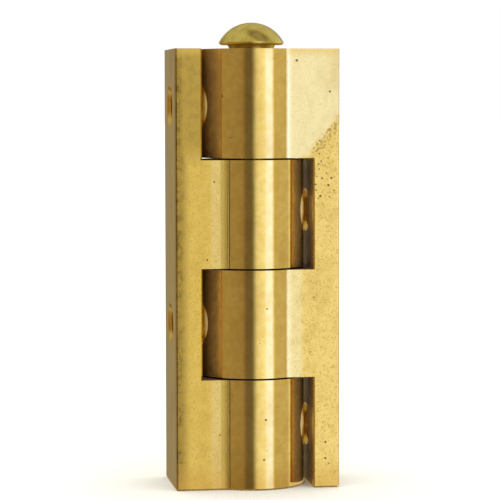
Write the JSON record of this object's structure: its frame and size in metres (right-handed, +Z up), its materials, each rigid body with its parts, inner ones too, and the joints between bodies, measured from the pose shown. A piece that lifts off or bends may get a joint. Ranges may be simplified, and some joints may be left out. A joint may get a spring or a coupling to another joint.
{
  "type": "door hinge",
  "caption": "Compact loose-pin block hinge in solid brass: knuckles of both leaves interlock in a thick barrel, tapped screw holes open into the slots, and a domed pin lifts out at the top.",
  "frame": {"origin": "on the pin's axis, level with the bottom ends of the leaves; with the hinge closed this is the bottom centre of its box", "axes": "+Z up the pin towards its head, +X from the frame's leaf to the door's leaf, -Y towards the side that the barrel shows on and the door opens to"},
  "size_m": [0.0188, 0.012, 0.0531],
  "materials": {
    "leaf_brass": "polished, with fine scratches and pits",
    "pin_brass": "turned and lightly tarnished"
  },
  "bodies": {
    "frame_leaf": {"frame_leaf": "leaf_brass"},
    "door_leaf": {"door_leaf": "leaf_brass"},
    "hinge_pin": {"hinge_pin": "pin_brass"}
  },
  "joints": [
    {"name": "door_swing", "type": "hinge", "parent": "frame_leaf", "child": "door_leaf", "pos_m": [0, 0, 0.025], "axis": [0, 0, -1], "range_deg": [0, 104]},
    {"name": "pin_lift", "type": "slide", "parent": "frame_leaf", "child": "hinge_pin", "axis": [0, 0, 1], "range_m": [0, 0.05]}
  ]
}
